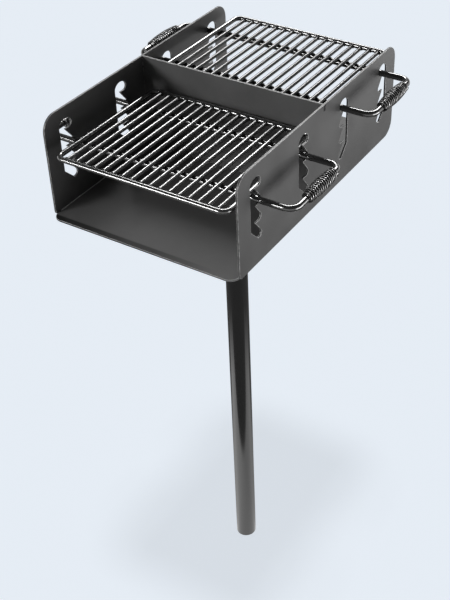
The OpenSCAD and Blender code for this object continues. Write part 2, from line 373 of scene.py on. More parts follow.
@dataclass(frozen=True)
class Paint:
    """A paint on steel, with the wear and dust that it shows, and on some paints a painted shade
    or painted highlights. Lengths are in metres.
    """

    name: str
    colour: Colour
    worn_and_highlight: Colour
    roughness: float
    roughness_spread: float = 0.06
    cloudiness: float = 0.12
    swell_pitch: float = 0.0035
    swell_depth: float = 0.00004
    cloud_pitch: float = 0.12
    edge_amount: float = 0.2
    dust_amount: float = 0.1
    dust: Colour = (0.12, 0.118, 0.115)
    dust_roughness: float = 0.3
    metallic: float = 0.0
    reflectance: float = 0.5
    lacquer: float = 0.0
    worn_and_highlight_metal: float = 0.0
    painted_shade: PaintedShadeStrip | None = None

    @cache
    def material(self) -> Material:
        """Builds the material once.

        Returns:
            The material, named after the paint.
        """
        made = bpy.data.materials.get(self.name) or bpy.data.materials.new(self.name)
        bench = NodeBench.cleared(made)
        place = bench.add("ShaderNodeTexCoord").outputs["Object"]
        skin = bench.add(
            "ShaderNodeGroup",
            {"Vector": place, "Swell Pitch": self.swell_pitch, "Cloud Pitch": self.cloud_pitch},
            node_tree=Effects.paint_skin(),
        ).outputs
        edge = bench.add("ShaderNodeAttribute", attribute_name=EDGE).outputs["Fac"]
        wear_and_highlight = bench.add(
            "ShaderNodeGroup",
            {"Vector": place, "Edge": edge, "Amount": self.edge_amount},
            node_tree=Effects.edge_wear_and_highlight(),
        ).outputs["Mask"]
        dust = bench.add(
            "ShaderNodeGroup",
            {"Vector": place, "Amount": self.dust_amount},
            node_tree=Effects.settled_dust(),
        ).outputs["Mask"]
        deep = tuple(c * (1.0 - self.cloudiness) for c in self.colour)
        pale = tuple(c * (1.0 + self.cloudiness) for c in self.colour)
        colour = bench.blend_colour(skin["Cloud"], rgba(deep), rgba(pale))
        # Painted shade: a dark strip darkens the paint along the plate's front edge.
        if self.painted_shade is not None:
            colour = bench.blend_colour(
                self.painted_shade.mask(bench, place), colour, rgba(self.painted_shade.colour)
            )
        colour = bench.blend_colour(wear_and_highlight, colour, rgba(self.worn_and_highlight))
        colour = bench.blend_colour(dust, colour, rgba(self.dust))
        rough = bench.calc("MULTIPLY_ADD", skin["Cloud"], self.roughness_spread, self.roughness)
        rough = bench.calc("MULTIPLY_ADD", dust, self.dust_roughness, rough, clamp=True)
        bump = bench.add(
            "ShaderNodeBump",
            {"Height": skin["Height"], "Strength": 1.0, "Distance": self.swell_depth},
        )
        metal = self.metallic
        if self.worn_and_highlight_metal > 0.0:
            metal = bench.calc("MULTIPLY", wear_and_highlight, self.worn_and_highlight_metal)
        shader = bench.add(
            "ShaderNodeBsdfPrincipled",
            {
                "Base Color": colour,
                "Metallic": metal,
                "Roughness": rough,
                "Specular IOR Level": self.reflectance,
                "Coat Weight": self.lacquer,
                "Coat Roughness": self.roughness,
                "Normal": bump.outputs["Normal"],
            },
        )
        bench.add("ShaderNodeOutputMaterial", {"Surface": shader.outputs["BSDF"]})
        return made

    def dress(self, piece: Object) -> None:
        """Puts the paint on every face of a piece.

        Args:
            piece: The piece.
        """
        made = self.material()
        slots = piece.data.materials
        if len(slots) == 0:
            slots.append(made)
        for number in range(len(slots)):
            slots[number] = made


POST_PAINT = Paint(
    name="post paint",
    colour=grey(0.008),
    worn_and_highlight=grey(0.10),
    roughness=0.12,
    roughness_spread=0.04,
    swell_pitch=0.02,
    swell_depth=0.00006,
    cloud_pitch=0.2,
    dust_amount=0.0,
    reflectance=1.0,
    lacquer=1.0,
)
# Its light worn edges are wear, and also a painted highlight along the plates' edges; the fire
# floor takes them too.
PLATE_PAINT = Paint(
    name="firebox paint",
    colour=grey(0.07),
    worn_and_highlight=grey(0.45),
    roughness=0.36,
    roughness_spread=0.08,
    swell_depth=0.00003,
    edge_amount=0.4,
)
FIRE_FLOOR_PAINT = replace(
    PLATE_PAINT,
    name="fire floor paint",
    colour=grey(0.090),
    roughness=0.56,
    edge_amount=0.5,
    reflectance=0.35,
)
# Lighter than the frame and rod paint of the same grate: a painted reflection along the bars'
# flanks.
BAR_PAINT_WITH_REFLECTION = Paint(
    name="bar paint with painted reflection",
    colour=grey(0.095),
    worn_and_highlight=grey(0.18),
    roughness=0.17,
    swell_pitch=0.012,
    swell_depth=0.000002,
    dust_amount=0.05,
)
FRAME_PAINT = Paint(
    name="frame paint",
    colour=grey(0.030),
    worn_and_highlight=grey(0.16),
    roughness=0.165,
    swell_pitch=0.006,
    swell_depth=0.000006,
    dust_amount=0.05,
    reflectance=1.0,
    lacquer=0.8,
)
ROD_PAINT = replace(FRAME_PAINT, name="rod paint", colour=grey(0.020), roughness=0.14)
# Its light worn ridges are wear, and also a painted highlight along the curls.
COIL_PAINT = Paint(
    name="coil paint",
    colour=grey(0.012),
    worn_and_highlight=grey(0.60),
    roughness=0.24,
    edge_amount=0.36,
    reflectance=0.9,
    swell_pitch=0.003,
    swell_depth=0.00001,
    worn_and_highlight_metal=0.4,
)
SATIN_BLACK = Paint(
    name="satin black",
    colour=(0.03, 0.03, 0.031),
    worn_and_highlight=grey(0.15),
    roughness=0.45,
)
WELD_PAINT = Paint(
    name="painted weld",
    colour=(0.026, 0.026, 0.027),
    worn_and_highlight=grey(0.12),
    roughness=0.36,
    swell_pitch=0.0015,
)
# Light grey: a painted highlight along the inside corners between the fire floor and the side
# plates.
SEAM_HIGHLIGHT_PAINT = Paint(
    name="seam bead with painted highlight",
    colour=grey(0.42),
    worn_and_highlight=grey(0.5),
    roughness=0.4,
    swell_pitch=0.0015,
)
ZINC = Paint(
    name="dull zinc",
    colour=(0.42, 0.43, 0.44),
    worn_and_highlight=grey(0.6),
    roughness=0.38,
    roughness_spread=0.15,
    cloudiness=0.2,
    cloud_pitch=0.008,
    metallic=1.0,
)


class Workshop:
    """Ways to make a mesh that more than one sub-assembly uses.

    Lengths are in metres, bends in degrees and areas in square metres.
    """

    SAME_POINT: float = 1e-6
    FLAT_BEND: float = 0.5
    CORNER_BEND: float = 35.0
    PLATE_CREASE: float = 38.0
    PLATE_FLAT_AREA: float = 4e-4
    ROD_CREASE: float = 40.0
    ROD_SIDES: int = 32
    BEND_LEAD: float = 0.0015

    @staticmethod
    def piece(name: str, mesh: Mesh, body: str, slot: str) -> Object:
        """Makes a finished mesh into a piece that rides on a body.

        Args:
            name: The piece's name.
            mesh: Its mesh, already in place.
            body: The body that carries it.
            slot: Not used.

        Returns:
            The piece.
        """
        mesh.name = name
        made = put(name, mesh)
        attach(made, body)
        return made

    @staticmethod
    def shade(shape: bmesh.types.BMesh, flat_area: float, crease: float) -> None:
        """Shades small faces smooth and large ones flat, with creases between.

        Args:
            shape: The shape to shade.
            flat_area: Faces larger than this stay flat, in square metres.
            crease: Edges bent by more than this stay sharp, in degrees.
        """
        for face in shape.faces:
            face.smooth = face.calc_area() < flat_area
        limit = math.radians(crease)
        for edge in shape.edges:
            if len(edge.link_faces) == 2:
                edge.smooth = edge.calc_face_angle(0.0) < limit

    @classmethod
    def rounded(cls, node: str, radius: float, body: str, slot: str) -> Object:
        """A copy of a plate with its edges rounded, which stands for the plate's node.

        Args:
            node: The name of the plate's node.
            radius: Radius of the rounding, in metres.
            body: The body that carries it.
            slot: Handed on to the piece.

        Returns:
            The rounded piece.
        """
        shape = bmesh.new()
        shape.from_mesh(frame["nodes"][node].data)
        bmesh.ops.remove_doubles(shape, verts=shape.verts, dist=cls.SAME_POINT)
        flat = math.radians(cls.FLAT_BEND)
        bmesh.ops.dissolve_limit(shape, angle_limit=flat, verts=shape.verts, edges=shape.edges)
        layer = shape.faces.layers.float.new(EDGE)
        sharp = math.radians(cls.CORNER_BEND)
        corners = [
            e for e in shape.edges
            if len(e.link_faces) == 2 and e.calc_face_angle(0.0) > sharp
        ]
        made = bmesh.ops.bevel(
            shape,
            geom=corners,
            offset=radius,
            offset_type="OFFSET",
            segments=2,
            profile=0.5,
            affect="EDGES",
            clamp_overlap=True,
        )
        # The rounded faces are marked as edges, where the paint turns lighter: wear, and on the
        # firebox plates also a painted highlight.
        for face in made["faces"]:
            face[layer] = 1.0
        cls.shade(shape, cls.PLATE_FLAT_AREA, cls.PLATE_CREASE)
        mesh = bpy.data.meshes.new(node)
        shape.to_mesh(mesh)
        shape.free()
        piece = cls.piece(f"{node}_rounded", mesh, body, slot)
        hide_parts(node)
        return piece

    @classmethod
    def lines(cls, paths: Sequence[Path]) -> Object:
        """An object that holds paths as edges, for a tree that follows them.

        Args:
            paths: The points of each path; a path whose ends meet is closed.

        Returns:
            The object, which is removed once the tree has run.
        """
        points: Path = []
        edges: list[tuple[int, int]] = []
        for path in paths:
            closed = (path[0] - path[-1]).length < cls.SAME_POINT
            kept = path[:-1] if closed else path
            first = len(points)
            points.extend(kept)
            edges.extend((first + i, first + i + 1) for i in range(len(kept) - 1))
            if closed:
                edges.append((first + len(kept) - 1, first))
        mesh = bpy.data.meshes.new("paths")
        mesh.from_pydata([tuple(p) for p in points], edges, [])
        return put("paths", mesh)

    @classmethod
    def bent(cls, corners: Path, radius: float, closed: bool, steps: int = 12) -> Path:
        """The axis of a rod bent round corners.

        Args:
            corners: The corners; the first and last are the rod's ends if it isn't closed.
            radius: The bend radius, to the rod's axis.
            closed: Whether the rod joins its own start.
            steps: Points along each bend.

        Returns:
            The points of the axis, the first one again at the end if it is closed.
        """
        count = len(corners)
        path: Path = []
        for i, corner in enumerate(corners):
            if not closed and i in (0, count - 1):
                path.append(corner.copy())
                continue
            back = (corners[i - 1] - corner).normalized()
            ahead = (corners[(i + 1) % count] - corner).normalized()
            centre = corner + (back + ahead) * radius
            path.append(corner + back * (radius + cls.BEND_LEAD))
            for k in range(steps + 1):
                turn = math.pi / 2 * k / steps
                arm = ahead * math.cos(turn) + back * math.sin(turn)
                path.append(centre - arm * radius)
            path.append(corner + ahead * (radius + cls.BEND_LEAD))
        return [*path, path[0].copy()] if closed else path

    @classmethod
    def swept(
        cls, node: str, path: Path, diameter: float, paint: Paint, body: str, slot: str
    ) -> Object:
        """A round rod along a path, which stands for a bent rod's node.

        Args:
            node: The name of the rod's node.
            path: The rod's axis.
            diameter: The rod's diameter.
            paint: The rod's paint.
            body: The body that carries it.
            slot: Handed on to the piece.

        Returns:
            The rod.
        """
        values = {"Radius": diameter / 2, "Sides": cls.ROD_SIDES, "Material": paint.material()}
        mesh = cls.run(cls.lines([path]), Trees.rod(), values)
        shape = bmesh.new()
        shape.from_mesh(mesh)
        cls.shade(shape, math.inf, cls.ROD_CREASE)
        shape.to_mesh(mesh)
        shape.free()
        made = cls.piece(f"{node}_bent", mesh, body, slot)
        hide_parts(node)
        return made

    @staticmethod
    def run(carrier: Object, tree: NodeTree, values: dict[str, object]) -> Mesh:
        """Runs a geometry tree on an object and gives the plain mesh.

        Args:
            carrier: The object that holds the tree's input; it is removed afterwards.
            tree: The geometry tree.
            values: A value for each of the tree's named inputs.

        Returns:
            The mesh that the tree makes.
        """
        modifier = carrier.modifiers.new("tree", "NODES")
        modifier.node_group = tree
        for item in tree.interface.items_tree:
            if item.item_type == "SOCKET" and item.in_out == "INPUT" and item.name in values:
                modifier[item.identifier] = values[item.name]
        carrier.update_tag()
        bpy.context.view_layer.update()
        graph = bpy.context.evaluated_depsgraph_get()
        result = bpy.data.meshes.new_from_object(
            carrier.evaluated_get(graph), preserve_all_data_layers=True, depsgraph=graph
        )
        held = carrier.data
        bpy.data.objects.remove(carrier)
        bpy.data.meshes.remove(held)
        return result


class Trees:
    """The geometry trees, each built once, with named inputs for its sizes."""

    @staticmethod
    def start(name: str, inputs: dict[str, str]) -> Group:
        """Starts a geometry tree.

        Args:
            name: The tree's name.
            inputs: What each input after the geometry carries, by the input's name.

        Returns:
            The tree, its bench, what its inputs give and what its outputs take.
        """
        geometry = {"Geometry": "Geometry"}
        group = start_group("GeometryNodeTree", name, {**geometry, **inputs}, geometry)
        group[0].is_modifier = True
        return group

    @staticmethod
    def sweep(bench: NodeBench, lines: Socket, radius: Socket, sides: object) -> Socket:
        """Sweeps a round section along lines.

        Args:
            bench: The tree's bench.
            lines: The lines, as a mesh of edges.
            radius: The section's radius.
            sides: The section's number of sides.

        Returns:
            The socket that holds the closed tube.
        """
        curve = bench.add("GeometryNodeMeshToCurve", {"Mesh": lines})
        section = bench.add(
            "GeometryNodeCurvePrimitiveCircle", {"Resolution": sides, "Radius": radius}
        )
        tube = bench.add(
            "GeometryNodeCurveToMesh",
            {
                "Curve": curve.outputs["Curve"],
                "Profile Curve": section.outputs["Curve"],
                "Fill Caps": True,
            },
        )
        return tube.outputs["Mesh"]

    @staticmethod
    def end(bench: NodeBench, result: Mapping[str, Socket], shape: Socket, paint: Socket) -> None:
        """Shades the shape smooth, makes instances real and gives the material.

        Args:
            bench: The tree's bench.
            result: What the tree's outputs take.
            shape: The finished shape.
            paint: The material.
        """
        for kind in ("SetShadeSmooth", "RealizeInstances"):
            shape = bench.add(f"GeometryNode{kind}", {"Geometry": shape}).outputs["Geometry"]
        dressed = bench.add("GeometryNodeSetMaterial", {"Geometry": shape, "Material": paint})
        bench.feed(result["Geometry"], dressed.outputs["Geometry"])

    @staticmethod
    @cache
    def coil() -> NodeTree:
        """One wire wound round an axis along Y, widest at the middle of its length.

        Returns:
            The tree.
        """
        tree, bench, got, result = Trees.start(
            "wound wire",
            {
                "Centre": "Vector",
                "Length": "Float",
                "Curls": "Int",
                "Steps per Curl": "Int",
                "End Radius": "Float",
                "Middle Radius": "Float",
                "Wire Radius": "Float",
                "Wire Sides": "Int",
                "Material": "Material",
            },
        )
        steps = bench.calc("MULTIPLY", got["Curls"], got["Steps per Curl"])
        line = bench.add("GeometryNodeMeshLine", {"Count": bench.calc("ADD", steps, 1.0)})
        index = bench.add("GeometryNodeInputIndex").outputs["Index"]
        share = bench.calc("DIVIDE", index, steps)
        curl = bench.calc("DIVIDE", index, got["Steps per Curl"])
        turn = bench.calc("MULTIPLY", curl, 2.0 * math.pi)
        swell = bench.calc("SINE", bench.calc("MULTIPLY", share, math.pi))
        extra = bench.calc("SUBTRACT", got["Middle Radius"], got["End Radius"])
        radius = bench.calc("MULTIPLY_ADD", swell, extra, got["End Radius"])
        along = bench.calc("MULTIPLY", bench.calc("SUBTRACT", share, 0.5), got["Length"])
        spot = bench.add(
            "ShaderNodeCombineXYZ",
            {
                "X": bench.calc("MULTIPLY", radius, bench.calc("COSINE", turn)),
                "Y": along,
                "Z": bench.calc("MULTIPLY", radius, bench.calc("SINE", turn)),
            },
        ).outputs[0]
        path = bench.add(
            "GeometryNodeSetPosition",
            {
                "Geometry": line.outputs["Mesh"],
                "Position": bench.vector("ADD", spot, got["Centre"]),
            },
        )
        wire = Trees.sweep(bench, path.outputs["Geometry"], got["Wire Radius"], got["Wire Sides"])
        here = bench.add("GeometryNodeInputPosition").outputs["Position"]
        arm = bench.vector("SUBTRACT", here, got["Centre"])
        out = bench.vector("NORMALIZE", bench.vector("MULTIPLY", arm, (1.0, 0.0, 1.0)))
        facing = bench.add("GeometryNodeInputNormal").outputs["Normal"]
        outward = bench.vector("DOT_PRODUCT", out, facing)
        # The outward side of each curl is stored as edge, where the coil paint turns light and
        # metallic: wear, and a painted highlight along the curls.
        marked = bench.add(
            "GeometryNodeStoreNamedAttribute",
            {"Geometry": wire, "Name": EDGE, "Value": bench.calc("MAXIMUM", outward, 0.0)},
            data_type="FLOAT",
            domain="POINT",
        )
        Trees.end(bench, result, marked.outputs["Geometry"], got["Material"])
        return tree

    @staticmethod
    @cache
    def rod() -> NodeTree:
        """A round rod that follows a path.

        Returns:
            The tree.
        """
        inputs = {"Radius": "Float", "Sides": "Int", "Material": "Material"}
        tree, bench, got, result = Trees.start("round rod", inputs)
        tube = Trees.sweep(bench, got["Geometry"], got["Radius"], got["Sides"])
        Trees.end(bench, result, tube, got["Material"])
        return tree

    @staticmethod
    @cache
    def beads() -> NodeTree:
        """A weld laid along paths as overlapping drops.

        Returns:
            The tree.
        """
        tree, bench, got, result = Trees.start(
            "weld drops",
            {
                "Pitch": "Float",
                "Width": "Float",
                "Overlap": "Float",
                "Unevenness": "Float",
                "Seed": "Int",
                "Material": "Material",
            },
        )
        curve = bench.add("GeometryNodeMeshToCurve", {"Mesh": got["Geometry"]})
        spots = bench.add(
            "GeometryNodeCurveToPoints",
            {"Curve": curve.outputs["Curve"], "Length": got["Pitch"]},
            mode="LENGTH",
        )
        drop = bench.add("GeometryNodeMeshUVSphere", {"Segments": 8, "Rings": 5, "Radius": 1.0})
        across = bench.calc("MULTIPLY", got["Width"], 0.5)
        along = bench.calc("MULTIPLY", got["Pitch"], got["Overlap"])
        size = bench.add("ShaderNodeCombineXYZ", {"X": across, "Y": across, "Z": along})
        jitter = bench.add(
            "FunctionNodeRandomValue",
            {
                "Min": bench.calc("SUBTRACT", 1.0, got["Unevenness"]),
                "Max": bench.calc("ADD", 1.0, got["Unevenness"]),
                "Seed": got["Seed"],
            },
            data_type="FLOAT",
        )
        scaled = bench.add(
            "ShaderNodeVectorMath",
            {0: size.outputs[0], "Scale": jitter.outputs["Value"]},
            operation="SCALE",
        )
        laid = bench.add(
            "GeometryNodeInstanceOnPoints",
            {
                "Points": spots.outputs["Points"],
                "Instance": drop.outputs["Mesh"],
                "Rotation": spots.outputs["Rotation"],
                "Scale": scaled.outputs[0],
            },
        )
        Trees.end(bench, result, laid.outputs["Instances"], got["Material"])
        return tree


@dataclass(frozen=True)
class Weld:
    """A kind of weld bead. Lengths are in metres, and overlap is a share of the pitch."""

    pitch: float = 0.0022
    width: float = 0.0045
    overlap: float = 0.95
    unevenness: float = 0.12
    seed: int = 3
    paint: Paint = WELD_PAINT

    def lay(self, name: str, paths: Sequence[Path], body: str, slot: str) -> Object:
        """Lays the bead along paths.

        Args:
            name: The piece's name.
            paths: The lines that the beads follow.
            body: The body that carries them.
            slot: Handed on to the piece.

        Returns:
            The piece with all the beads.
        """
        values = {
            "Pitch": self.pitch,
            "Width": self.width,
            "Overlap": self.overlap,
            "Unevenness": self.unevenness,
            "Seed": self.seed,
            "Material": self.paint.material(),
        }
        mesh = Workshop.run(Workshop.lines(paths), Trees.beads(), values)
        return Workshop.piece(name, mesh, body, slot)

    @staticmethod
    def stitches(start: Vector, end: Vector, length: float, count: int) -> list[Path]:
        """Short beads spaced evenly along a seam.

        Args:
            start: One end of the seam.
            end: The seam's other end.
            length: Length of one stitch.
            count: Number of stitches.

        Returns:
            A path for each stitch.
        """
        seam = end - start
        step = seam / count
        half = seam.normalized() * length / 2
        middles = [start + step * (i + 0.5) for i in range(count)]
        return [[m - half, m + half] for m in middles]

    @staticmethod
    def ring(centre: Vector, axis: Vector, radius: float, count: int) -> Path:
        """A bead all the way round a rod or pipe.

        Args:
            centre: Middle of the ring.
            axis: The rod's direction.
            radius: The ring's radius.
            count: Points round the ring.

        Returns:
            The closed path.
        """
        turn = axis.to_track_quat("Z", "Y")
        angles = [2.0 * math.pi * i / count for i in range(count)]
        path = [
            centre + turn @ Vector((radius * math.cos(a), radius * math.sin(a), 0.0))
            for a in angles
        ]
        return [*path, path[0].copy()]


@dataclass
class Post:
    """The ground post with its swivel head and bolt. Lengths are in metres."""

    body: str = "post"
    edge_round: float = 0.0012
    bead: Weld = Weld(pitch=0.003, width=0.006)
    bead_sink: float = 0.0005
    bead_points: int = 48

    def build(self) -> list[Object]:
        """Dresses the pipe, head and bolt, and lays the bead between pipe and head.

        Returns:
            The shown pieces.
        """
        nodes = frame["nodes"]
        POST_PAINT.dress(nodes["post"])
        head = Workshop.rounded("swivel_head", self.edge_round, self.body, "post_paint")
        POST_PAINT.dress(head)
        ZINC.dress(nodes["retaining_bolt"])
        low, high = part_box("post")
        radius = (high.x - low.x) / 2 - self.bead_sink
        up = Vector((0.0, 0.0, 1.0))
        ring = Weld.ring(up * high.z, up, radius, self.bead_points)
        bead = self.bead.lay("post_head_weld", [ring], self.body, "post_paint")
        return [nodes["post"], head, nodes["retaining_bolt"], bead]


@dataclass
class Firebox:
    """The firebox of steel plate, with its stub and flange. Lengths are in metres."""

    body: str = "firebox"
    edge_round: float = 0.0007
    stitch: float = 0.035
    seam_end: float = 0.36
    divider_gap: float = 0.006
    side_gap: float = 0.03
    flange_inset: float = 0.015
    ear_h: float = 0.016
    ear_tack_start: float = 0.003
    corner_tacks: tuple[tuple[float, float], ...] = ((0.005, 0.015), (0.029, 0.031))

    def plates(self) -> list[Object]:
        """Rounds and paints the plates, the stub and the flange.

        Returns:
            The shown pieces.
        """
        shown = []
        names = ("firebox_bottom", "left_side_plate", "right_side_plate", "divider_plate")
        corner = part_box("firebox_bottom")[0]
        # The fire floor carries a strip of painted shade along its front edge.
        floor_paint_with_painted_shade = replace(FIRE_FLOOR_PAINT, painted_shade=PaintedShadeStrip(front=corner.y, left=corner.x))
        for name in names:
            plate = Workshop.rounded(name, self.edge_round, self.body, "firebox_paint")
            paint = floor_paint_with_painted_shade if name == "firebox_bottom" else PLATE_PAINT
            paint.dress(plate)
            shown.append(plate)
        flange = Workshop.rounded("swivel_flange", self.edge_round, self.body, "hidden_steel")
        SATIN_BLACK.dress(flange)
        stub = frame["nodes"]["swivel_stub"]
        SATIN_BLACK.dress(stub)
        return [*shown, flange, stub]

    def corner_seams(self) -> list[Path]:
        """The corners between the floor and the side plates, on both sides of the divider.

        Returns:
            A path for each corner.
        """
        low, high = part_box("firebox_bottom")
        inner_low, inner_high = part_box("divider_plate")
        front = (-self.seam_end, inner_low.y - self.divider_gap)
        rear = (inner_high.y + self.divider_gap, self.seam_end)
        return [
            [Vector((x, start, high.z)), Vector((x, end, high.z))]
            for x in (low.x, high.x)
            for start, end in (front, rear)
        ]

    def stitch_seams(self) -> list[Path]:
        """The lines of the stitch welds under the firebox and along its divider.

        Returns:
            A path for each stitch.
        """
        low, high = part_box("firebox_bottom")
        drop = Vector((0.0, 0.0, low.z - high.z))
        left, right = low.x + self.side_gap, high.x - self.side_gap
        paths: list[Path] = []
        for start, end in self.corner_seams():
            paths += Weld.stitches(start + drop, end + drop, self.stitch, count=2)
        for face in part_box("divider_plate"):
            start, end = Vector((left, face.y, high.z)), Vector((right, face.y, high.z))
            paths += Weld.stitches(start, end, self.stitch, count=3)
        return paths

    def divider_tacks(self) -> list[Path]:
        """The tack welds of the divider: beside its ears, and down the inner corners.

        Returns:
            A path for each tack.
        """
        low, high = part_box("divider_plate")
        floor_low, floor_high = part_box("firebox_bottom")
        paths: list[Path] = []
        for y in (low.y, high.y):
            ears = [(x, self.ear_tack_start, self.ear_h) for x in (low.x, high.x)]
            inner = [(x, *tack) for x in (floor_low.x, floor_high.x) for tack in self.corner_tacks]
            for x, start, end in ears + inner:
                paths.append([Vector((x, y, high.z - start)), Vector((x, y, high.z - end))])
        return paths

    def flange_seam(self) -> list[Path]:
        """The lines of the beads round the flange.

        Returns:
            A path for each side.
        """
        low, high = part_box("swivel_flange")
        inset = self.flange_inset
        ends = [((low.x + inset, y), (high.x - inset, y)) for y in (low.y, high.y)]
        ends += [((x, low.y + inset), (x, high.y - inset)) for x in (low.x, high.x)]
        return [[Vector((*a, high.z)), Vector((*b, high.z))] for a, b in ends]

    def build(self) -> list[Object]:
        """Makes the whole firebox.

        Returns:
            The shown pieces.
        """
        shown = self.plates()
        thin = Weld(pitch=0.0024, width=0.0042, seed=5)
        # The corner beads carry the light grey of a painted highlight.
        fine = Weld(pitch=0.0014, width=0.0032, unevenness=0.06, seed=7, paint=SEAM_HIGHLIGHT_PAINT)
        tack = Weld(pitch=0.0016, width=0.0032, seed=8)
        thick = Weld(pitch=0.003, width=0.007, seed=6)
        work = (
            (thin, "firebox_stitch_welds", self.stitch_seams(), "firebox_paint"),
            (fine, "firebox_corner_welds", self.corner_seams(), "firebox_paint"),
            (tack, "divider_tack_welds", self.divider_tacks(), "firebox_paint"),
            (thick, "flange_welds", self.flange_seam(), "hidden_steel"),
        )
        for weld, name, paths, slot in work:
            shown.append(weld.lay(name, paths, self.body, slot))
        return shown


@dataclass
class Grate:
    """One lift-out grate with its support rods and handles.

    Lengths are in metres, and end_arc is in degrees round a bar's end.
    """

    place: Place
    frame_d: float = 0.0127
    bar_d: float = 0.0095
    rod_d: float = 0.0159
    bar_count: int = 17
    frame_bend: float = 0.018
    handle_bend: float = 0.0236
    end_lift: float = 0.0003
    end_arc: range = range(-30, 211, 20)
    crossing_sink: float = 0.0016
    crossing_back: float = 0.0042
    crossing_reach: float = 0.0024

    @property
    def body(self) -> str:
        """The name of the body that the grate moves as."""
        return f"{self.place.value}_grate"

    def node(self, part: str) -> str:
        """The name of one of the grate's nodes."""
        return f"{self.place.value}_{part}"

    def bar_places(self) -> list[float]:
        """Spaces the bars evenly inside the frame.

        Returns:
            Where each bar's axis lies along X.
        """
        low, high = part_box(self.node("grate_frame"))
        first, last = low.x + self.frame_d / 2, high.x - self.frame_d / 2
        step = (last - first) / (self.bar_count + 1)
        return [first + step * (i + 1) for i in range(self.bar_count)]

    def end_drops(self) -> list[Path]:
        """Short beads that hold the bar ends to the frame.

        Returns:
            A path for each bead, from one side of a bar over its top to the other.
        """
        low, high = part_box(self.node("grate_bars"))
        z = (low.z + high.z) / 2
        reach = self.bar_d / 2 + self.end_lift
        angles = [math.radians(a) for a in self.end_arc]
        arc = [(reach * math.cos(a), reach * math.sin(a)) for a in angles]
        return [
            [Vector((x + right, y, z + up)) for right, up in arc]
            for x in self.bar_places()
            for y in (low.y, high.y)
        ]

    def cross_drops(self) -> list[Path]:
        """Beads in the corners behind the support rods, one under each bar.

        Returns:
            A path for each bead, along the rod under a bar.
        """
        paths = []
        for part in ("grate_fore_rod", "grate_aft_rod"):
            low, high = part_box(self.node(part))
            y = (low.y + high.y) / 2 + self.crossing_back
            z = high.z - self.crossing_sink
            reach = self.crossing_reach
            paths += [
                [Vector((x - reach, y, z)), Vector((x + reach, y, z))]
                for x in self.bar_places()
            ]
        return paths

    def bent_rod(
        self, part: str, hand: Hand | None, diameter: float, bend: float, paint: Paint, slot: str
    ) -> Object:
        """Bends a rod round the corners of its box.

        Args:
            part: Which of the grate's rods it is.
            hand: The side that a handle stands on, or none for a rod that closes on itself.
            diameter: The rod's diameter.
            bend: The bend radius, to the rod's axis.
            paint: The rod's paint.
            slot: Handed on to the piece.

        Returns:
            The rod.
        """
        node = self.node(part)
        low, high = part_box(node)
        r = diameter / 2
        near, far = low.x + r, high.x - r
        if hand is Hand.RIGHT:
            near = low.x
        elif hand is Hand.LEFT:
            near, far = high.x, low.x + r
        fore, aft, z = low.y + r, high.y - r, (low.z + high.z) / 2
        turns = ((near, fore), (far, fore), (far, aft), (near, aft))
        path = Workshop.bent([Vector((*turn, z)) for turn in turns], bend, hand is None)
        return Workshop.swept(node, path, diameter, paint, self.body, slot)

    def build(self) -> list[Object]:
        """Bends and paints the grate's pieces and lays its welds.

        Returns:
            The shown pieces.
        """
        sizes = (self.frame_d, self.frame_bend)
        shown = [self.bent_rod("grate_frame", None, *sizes, FRAME_PAINT, "grate_paint")]
        sizes = (self.rod_d, self.handle_bend)
        for hand in Hand:
            part = f"{hand.value}_handle"
            shown.append(self.bent_rod(part, hand, *sizes, ROD_PAINT, "rod_paint"))
        plain = (
            ("grate_bars", BAR_PAINT_WITH_REFLECTION),
            ("grate_fore_rod", ROD_PAINT),
            ("grate_aft_rod", ROD_PAINT),
        )
        for part, paint in plain:
            piece = frame["nodes"][self.node(part)]
            paint.dress(piece)
            shown.append(piece)
        seed = 11 if self.place is Place.FRONT else 23
        drops = Weld(pitch=0.002, width=0.0052, seed=seed)
        spots = Weld(pitch=0.0016, width=0.0024, seed=seed + 2)
        work = (
            (drops, "bar_end_welds", self.end_drops()),
            (spots, "crossing_welds", self.cross_drops()),
        )
        for weld, part, paths in work:
            shown.append(weld.lay(self.node(part), paths, self.body, "grate_paint"))
        return shown


@dataclass
class CoilGrip:
    """A grip of wound wire on a handle. Lengths are in metres."""

    place: Place
    hand: Hand
    curls: int = 16
    steps: int = 28
    wire_d: float = 0.004
    wire_sides: int = 10
    end_d: float = 0.0266

    def build(self) -> Object:
        """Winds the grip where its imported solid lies.

        Returns:
            The grip.
        """
        name = f"{self.place.value}_{self.hand.value}_grip"
        low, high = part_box(name)
        values = {
            "Centre": tuple((low + high) / 2),
            "Length": high.y - low.y - self.wire_d,
            "Curls": self.curls,
            "Steps per Curl": self.steps,
            "End Radius": (self.end_d - self.wire_d) / 2,
            "Middle Radius": (high.x - low.x - self.wire_d) / 2,
            "Wire Radius": self.wire_d / 2,
            "Wire Sides": self.wire_sides,
            "Material": COIL_PAINT.material(),
        }
        # The tree draws its own line, so any path can carry it.
        mesh = Workshop.run(Workshop.lines([[low, high]]), Trees.coil(), values)
        grip = Workshop.piece(f"{name}_wound", mesh, name, "coil_paint")
        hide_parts(name)
        return grip


@dataclass(frozen=True)
class Lamp:
    """A soft lamp with a square front. Lengths are in metres, power in watts."""

    name: str
    towards: tuple[float, float, float]
    distance: float
    width: float
    height: float
    power: float

    @staticmethod
    def aim(lamp: Object, way: Vector) -> None:
        """Turns a lamp so that it shines from the given direction."""
        lamp.rotation_mode = "QUATERNION"
        lamp.rotation_quaternion = way.to_track_quat("Z", "Y")

    def hang(self, target: Vector, linked: Collection) -> Object:
        """Puts the lamp up.

        Args:
            target: The point that the lamp looks at.
            linked: Holds what the lamp lights, or what it is screened off from.

        Returns:
            The lamp.
        """
        data = bpy.data.lights.new(self.name, "AREA")
        data.shape = "RECTANGLE"
        data.size = self.width
        data.size_y = self.height
        data.energy = self.power
        made = put(self.name, data)
        way = Vector(self.towards).normalized()
        made.location = target + way * self.distance
        self.aim(made, way)
        made.visible_camera = False
        made.light_linking.receiver_collection = linked
        return made


